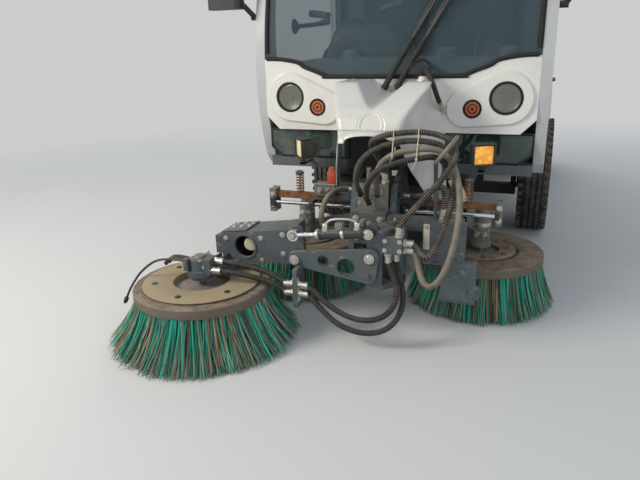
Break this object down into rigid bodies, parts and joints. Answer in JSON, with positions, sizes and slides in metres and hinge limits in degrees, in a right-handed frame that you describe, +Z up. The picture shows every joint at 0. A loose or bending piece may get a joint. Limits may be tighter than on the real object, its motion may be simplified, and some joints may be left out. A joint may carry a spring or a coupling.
{
  "type": "compact road sweeper",
  "caption": "Compact road sweeper: glazed cab, side brushes and an arm-mounted front brush, suction mouth and duct, rear tipping hopper with a top-hinged door.",
  "frame": {"origin": "bottom centre of the whole machine's box, on the ground", "axes": "+X to the machine's left side, +Y to its rear, +Z up; the wheels and brushes stand on Z = 0"},
  "size_m": [1.835, 4.555, 2.113],
  "materials": {
    "body_white": "gloss",
    "hoop_silver": "satin",
    "frame_grey": "satin",
    "dark_metal": "satin",
    "bright_rod": "polished",
    "rim_metal": "satin",
    "tyre_rubber": "matt",
    "hose_rubber": "matt",
    "screen_glass": "polished",
    "lower_glass": "polished",
    "lamp_lens": "polished",
    "red_lens": "gloss",
    "beacon_lens": "gloss",
    "black_plastic": "matt",
    "grey_plastic": "matt",
    "nose_white": "gloss",
    "seat_cloth": "woven",
    "brush_plastic": "matt",
    "duct_rubber": "matt",
    "engine_metal": "cast",
    "valve_metal": "cast"
  },
  "bodies": {
    "machine": {"chassis_frame": "frame_grey", "front_axle": "dark_metal", "rear_axle": "dark_metal", "cab_frame": "hoop_silver", "cab_tub": "grey_plastic", "roof": "body_white", "beacon": "beacon_lens", "windscreen": "screen_glass", "cab_glass": "lower_glass", "lamp_panel": "nose_white", "front_lamps": "lamp_lens", "nose_cover": "nose_white", "dashboard": "grey_plastic", "steering_wheel": "black_plastic", "seats": "seat_cloth", "mirrors": "black_plastic", "wipers": "black_plastic", "work_lamps": "black_plastic", "front_mount": "frame_grey", "suction_mouth": "dark_metal", "suction_duct": "duct_rubber", "engine_block": "engine_metal", "side_lockers": "body_white", "rear_lamps": "red_lens", "valve_block": "valve_metal", "loop_hose_1": "hose_rubber", "loop_hose_2": "hose_rubber", "nose_hoses": "hose_rubber", "bundle_hoses": "hose_rubber"},
    "front_wheel_left": {"front_rim_left": "rim_metal", "front_tyre_left": "tyre_rubber"},
    "front_wheel_right": {"front_rim_right": "rim_metal", "front_tyre_right": "tyre_rubber"},
    "rear_wheel_left": {"rear_rim_left": "rim_metal", "rear_tyre_left": "tyre_rubber"},
    "rear_wheel_right": {"rear_rim_right": "rim_metal", "rear_tyre_right": "tyre_rubber"},
    "steer_knuckle_left": {"knuckle_left": "dark_metal"},
    "steer_knuckle_right": {"knuckle_right": "dark_metal"},
    "cab_door_left": {"door_left": "hoop_silver", "door_glass_left": "screen_glass"},
    "cab_door_right": {"door_right": "hoop_silver", "door_glass_right": "screen_glass"},
    "hopper_shell": {"hopper": "body_white"},
    "rear_flap": {"hopper_door": "body_white"},
    "tip_cylinders": {"tip_barrels": "dark_metal"},
    "tip_pistons": {"tip_rods": "bright_rod"},
    "rear_cover": {"engine_cover": "body_white"},
    "swing_arm_left": {"brush_arm_left": "frame_grey"},
    "swing_arm_right": {"brush_arm_right": "frame_grey"},
    "side_brush_left": {"brush_left": "brush_plastic"},
    "side_brush_right": {"brush_right": "brush_plastic"},
    "slew_arm": {"slew_bracket": "frame_grey"},
    "lift_link": {"link_plate": "frame_grey", "inner_arm_hoses": "hose_rubber"},
    "tilt_link": {"tilt_barrel": "dark_metal", "tilt_rod": "bright_rod"},
    "head_arm": {"box_arm": "frame_grey", "outer_arm_hoses": "hose_rubber"},
    "front_brush": {"third_brush": "brush_plastic"}
  },
  "joints": [
    {"name": "steer_left", "type": "hinge", "parent": "machine", "child": "steer_knuckle_left", "pos_m": [0.6095, -0.0425, 0.33], "axis": [0, 0, 1], "range_deg": [-30, 30]},
    {"name": "steer_right", "type": "hinge", "parent": "machine", "child": "steer_knuckle_right", "pos_m": [-0.4745, -0.0425, 0.33], "axis": [0, 0, 1], "range_deg": [-30, 30]},
    {"name": "front_wheel_left_spin", "type": "hinge", "parent": "steer_knuckle_left", "child": "front_wheel_left", "pos_m": [0.6825, -0.0425, 0.33], "axis": [1, 0, 0], "continuous": true},
    {"name": "front_wheel_right_spin", "type": "hinge", "parent": "steer_knuckle_right", "child": "front_wheel_right", "pos_m": [-0.5475, -0.0425, 0.33], "axis": [1, 0, 0], "continuous": true},
    {"name": "rear_wheel_left_spin", "type": "hinge", "parent": "machine", "child": "rear_wheel_left", "pos_m": [0.6825, 1.7075, 0.33], "axis": [1, 0, 0], "continuous": true},
    {"name": "rear_wheel_right_spin", "type": "hinge", "parent": "machine", "child": "rear_wheel_right", "pos_m": [-0.5475, 1.7075, 0.33], "axis": [1, 0, 0], "continuous": true},
    {"name": "cab_door_left_hinge", "type": "hinge", "parent": "machine", "child": "cab_door_left", "pos_m": [0.6995, -1.1095, 0.9], "axis": [0, 0, -1], "range_deg": [0, 65]},
    {"name": "cab_door_right_hinge", "type": "hinge", "parent": "machine", "child": "cab_door_right", "pos_m": [-0.5645, -1.1095, 0.9], "axis": [0, 0, 1], "range_deg": [0, 65]},
    {"name": "hopper_tip", "type": "hinge", "parent": "machine", "child": "hopper_shell", "pos_m": [0.0675, 2.2125, 0.885], "axis": [-1, 0, 0], "range_deg": [0, 45]},
    {"name": "tip_cylinder_pivot", "type": "hinge", "parent": "machine", "child": "tip_cylinders", "pos_m": [0.0675, 1.9275, 0.48], "axis": [-1, 0, 0], "range_deg": [0, 23.5]},
    {"name": "tip_piston_slide", "type": "slide", "parent": "tip_cylinders", "child": "tip_pistons", "axis": [0, -0.505, 0.8631], "range_m": [0, 0.32]},
    {"name": "rear_flap_hinge", "type": "hinge", "parent": "hopper_shell", "child": "rear_flap", "pos_m": [0.0675, 2.1535, 1.942], "axis": [1, 0, 0], "range_deg": [0, 100]},
    {"name": "engine_cover_hinge", "type": "hinge", "parent": "machine", "child": "rear_cover", "pos_m": [0.6765, 2.2575, 0.65], "axis": [0, 0, -1], "range_deg": [0, 100]},
    {"name": "side_brush_left_swing", "type": "hinge", "parent": "machine", "child": "swing_arm_left", "pos_m": [0.2325, -0.9775, 0.275], "axis": [0, 0, 1], "range_deg": [0, 20]},
    {"name": "side_brush_right_swing", "type": "hinge", "parent": "machine", "child": "swing_arm_right", "pos_m": [-0.0975, -0.9775, 0.275], "axis": [0, 0, -1], "range_deg": [0, 20]},
    {"name": "side_brush_left_spin", "type": "hinge", "parent": "swing_arm_left", "child": "side_brush_left", "pos_m": [0.4795, -1.2025, 0.2], "axis": [0, 0, 1], "continuous": true},
    {"name": "side_brush_right_spin", "type": "hinge", "parent": "swing_arm_right", "child": "side_brush_right", "pos_m": [-0.3445, -1.2025, 0.2], "axis": [0, 0, 1], "continuous": true},
    {"name": "front_brush_slew", "type": "hinge", "parent": "machine", "child": "slew_arm", "pos_m": [0.1925, -1.6625, 0.34], "axis": [0, 0, 1], "range_deg": [0, 75], "deforming": ["loop_hose_1", "loop_hose_2", "bundle_hoses"]},
    {"name": "front_brush_lift", "type": "hinge", "parent": "slew_arm", "child": "lift_link", "pos_m": [0.1275, -1.7775, 0.355], "axis": [0, 1, 0], "range_deg": [0, 20], "deforming": ["inner_arm_hoses"]},
    {"name": "tilt_link_pivot", "type": "hinge", "parent": "slew_arm", "child": "tilt_link", "pos_m": [0.1275, -1.7945, 0.455], "axis": [0, 1, 0], "range_deg": [0, 20]},
    {"name": "head_level", "type": "hinge", "parent": "lift_link", "child": "head_arm", "pos_m": [-0.1725, -1.7775, 0.322], "axis": [0, 1, 0], "range_deg": [-20, 0], "deforming": ["outer_arm_hoses"]},
    {"name": "front_brush_spin", "type": "hinge", "parent": "head_arm", "child": "front_brush", "pos_m": [-0.5325, -1.8925, 0.2], "axis": [0, 0, 1], "continuous": true}
  ],
  "couplings": [
    {"joint": "steer_right", "follows": "steer_left", "ratio": 1},
    {"joint": "tip_cylinder_pivot", "follows": "hopper_tip", "ratio": 0.5169},
    {"joint": "tip_piston_slide", "follows": "hopper_tip", "m_per_rad": 0.4069},
    {"joint": "tilt_link_pivot", "follows": "front_brush_lift", "ratio": 1},
    {"joint": "head_level", "follows": "front_brush_lift", "ratio": -1}
  ]
}
